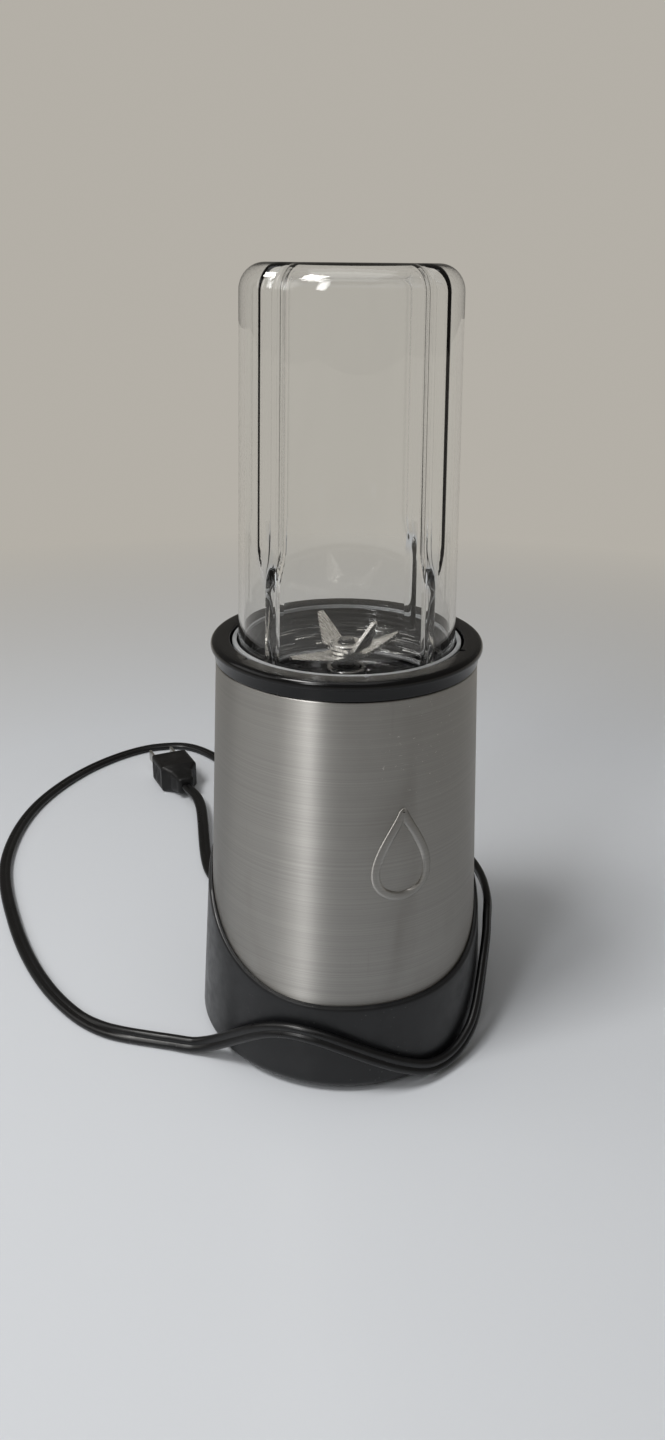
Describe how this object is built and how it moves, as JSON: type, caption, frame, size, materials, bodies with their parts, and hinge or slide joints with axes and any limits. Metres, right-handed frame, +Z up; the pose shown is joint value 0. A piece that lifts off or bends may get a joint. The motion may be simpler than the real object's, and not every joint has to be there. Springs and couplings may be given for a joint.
{
  "type": "countertop blender",
  "caption": "Personal countertop blender: clear upturned cup in a tapered brushed steel motor base with a black ring and skirt, flat cord and plug",
  "frame": {"origin": "centre of the round base at the level of its feet, the cord left out", "axes": "+Z up along the machine's axis, -Y the front, where the skirt's rim is lowest, the cord leaves at the back"},
  "size_m": [0.2168, 0.3322, 0.2844],
  "materials": {
    "clear_plastic": "clear moulded plastic, lightly scuffed",
    "brushed_steel": "fine brushing round the sleeve",
    "blade_steel": "ground stainless",
    "black_plastic": "satin moulded",
    "gloss_black_plastic": "gloss moulded",
    "black_rubber": "matte",
    "cord_jacket": "soft satin jacket",
    "grey_rubber": "matte grey",
    "laminated_iron": "stacked laminations",
    "enamelled_copper": "enamelled",
    "zinc_plate": "bright plate",
    "sintered_bronze": "sintered",
    "carbon": "matte carbon",
    "circuit_board": "green board",
    "white_plastic": "natural white"
  },
  "bodies": {
    "base": {"steel_sleeve": "brushed_steel", "emblem": "brushed_steel", "base_skirt": "black_plastic", "top_ring": "black_plastic", "well_liner": "black_plastic", "bottom_cover": "black_plastic", "chassis": "black_plastic", "cord_clamp": "black_plastic", "brush_holder_1": "gloss_black_plastic", "brush_holder_2": "gloss_black_plastic", "microswitch": "gloss_black_plastic", "foot_1": "black_rubber", "foot_2": "black_rubber", "foot_3": "black_rubber", "foot_4": "black_rubber", "motor_mount_1": "black_rubber", "motor_mount_2": "black_rubber", "cord_strain_relief": "black_rubber", "power_cord": "cord_jacket", "plug_body": "cord_jacket", "stator_stack": "laminated_iron", "field_coil_1": "enamelled_copper", "field_coil_2": "enamelled_copper", "cover_screw_1": "zinc_plate", "cover_screw_2": "zinc_plate", "cover_screw_3": "zinc_plate", "lower_bracket": "zinc_plate", "upper_bracket": "zinc_plate", "motor_bolt_1": "zinc_plate", "motor_bolt_2": "zinc_plate", "plug_pin_1": "zinc_plate", "plug_pin_2": "zinc_plate", "plunger_spring": "zinc_plate", "lower_bearing": "sintered_bronze", "upper_bearing": "sintered_bronze", "carbon_brush_1": "carbon", "carbon_brush_2": "carbon", "control_board": "circuit_board"},
    "rotor": {"motor_shaft": "zinc_plate", "armature_core": "laminated_iron", "armature_winding": "enamelled_copper", "commutator": "enamelled_copper", "cooling_fan": "white_plastic", "drive_coupling": "gloss_black_plastic"},
    "lock_ring": {"cam_ring": "white_plastic"},
    "plunger": {"interlock_plunger": "white_plastic"},
    "blade_base": {"blade_collar": "black_plastic", "bearing_housing": "zinc_plate", "housing_nut": "zinc_plate", "shaft_seal": "black_rubber", "upper_bush": "sintered_bronze", "lower_bush": "sintered_bronze"},
    "blade_rotor": {"blade_shaft": "zinc_plate", "lower_blade": "blade_steel", "blade_spacer": "blade_steel", "upper_blade": "blade_steel", "hub_washer": "blade_steel", "driven_coupling": "black_rubber"},
    "gasket": {"cup_gasket": "grey_rubber"},
    "cup": {"cup": "clear_plastic"}
  },
  "joints": [
    {"name": "motor_spin", "type": "hinge", "parent": "base", "child": "rotor", "pos_m": [0, 0, 0.05], "axis": [0, 0, 1], "continuous": true},
    {"name": "lock_twist", "type": "hinge", "parent": "base", "child": "lock_ring", "pos_m": [0, 0, 0.131], "axis": [0, 0, 1], "range_deg": [0, 20]},
    {"name": "interlock_press", "type": "slide", "parent": "base", "child": "plunger", "axis": [0, 0, 1], "range_m": [-0.0012, 0], "deforming": ["plunger_spring"]},
    {"name": "lift_off", "type": "slide", "parent": "lock_ring", "child": "blade_base", "axis": [0, 0, 1], "range_m": [0, 0.07]},
    {"name": "blade_spin", "type": "hinge", "parent": "blade_base", "child": "blade_rotor", "pos_m": [0, 0, 0.15], "axis": [0, 0, 1], "continuous": true},
    {"name": "cup_rise", "type": "slide", "parent": "blade_base", "child": "gasket", "axis": [0, 0, 1], "range_m": [0, 0.008]},
    {"name": "cup_turn", "type": "hinge", "parent": "gasket", "child": "cup", "pos_m": [0, 0, 0.2], "axis": [0, 0, 1], "range_deg": [0, 360]}
  ],
  "couplings": [
    {"joint": "blade_spin", "follows": "motor_spin", "ratio": 1},
    {"joint": "interlock_press", "follows": "lock_twist", "m_per_rad": -0.00343},
    {"joint": "cup_rise", "follows": "cup_turn", "m_per_rad": 0.00127}
  ]
}
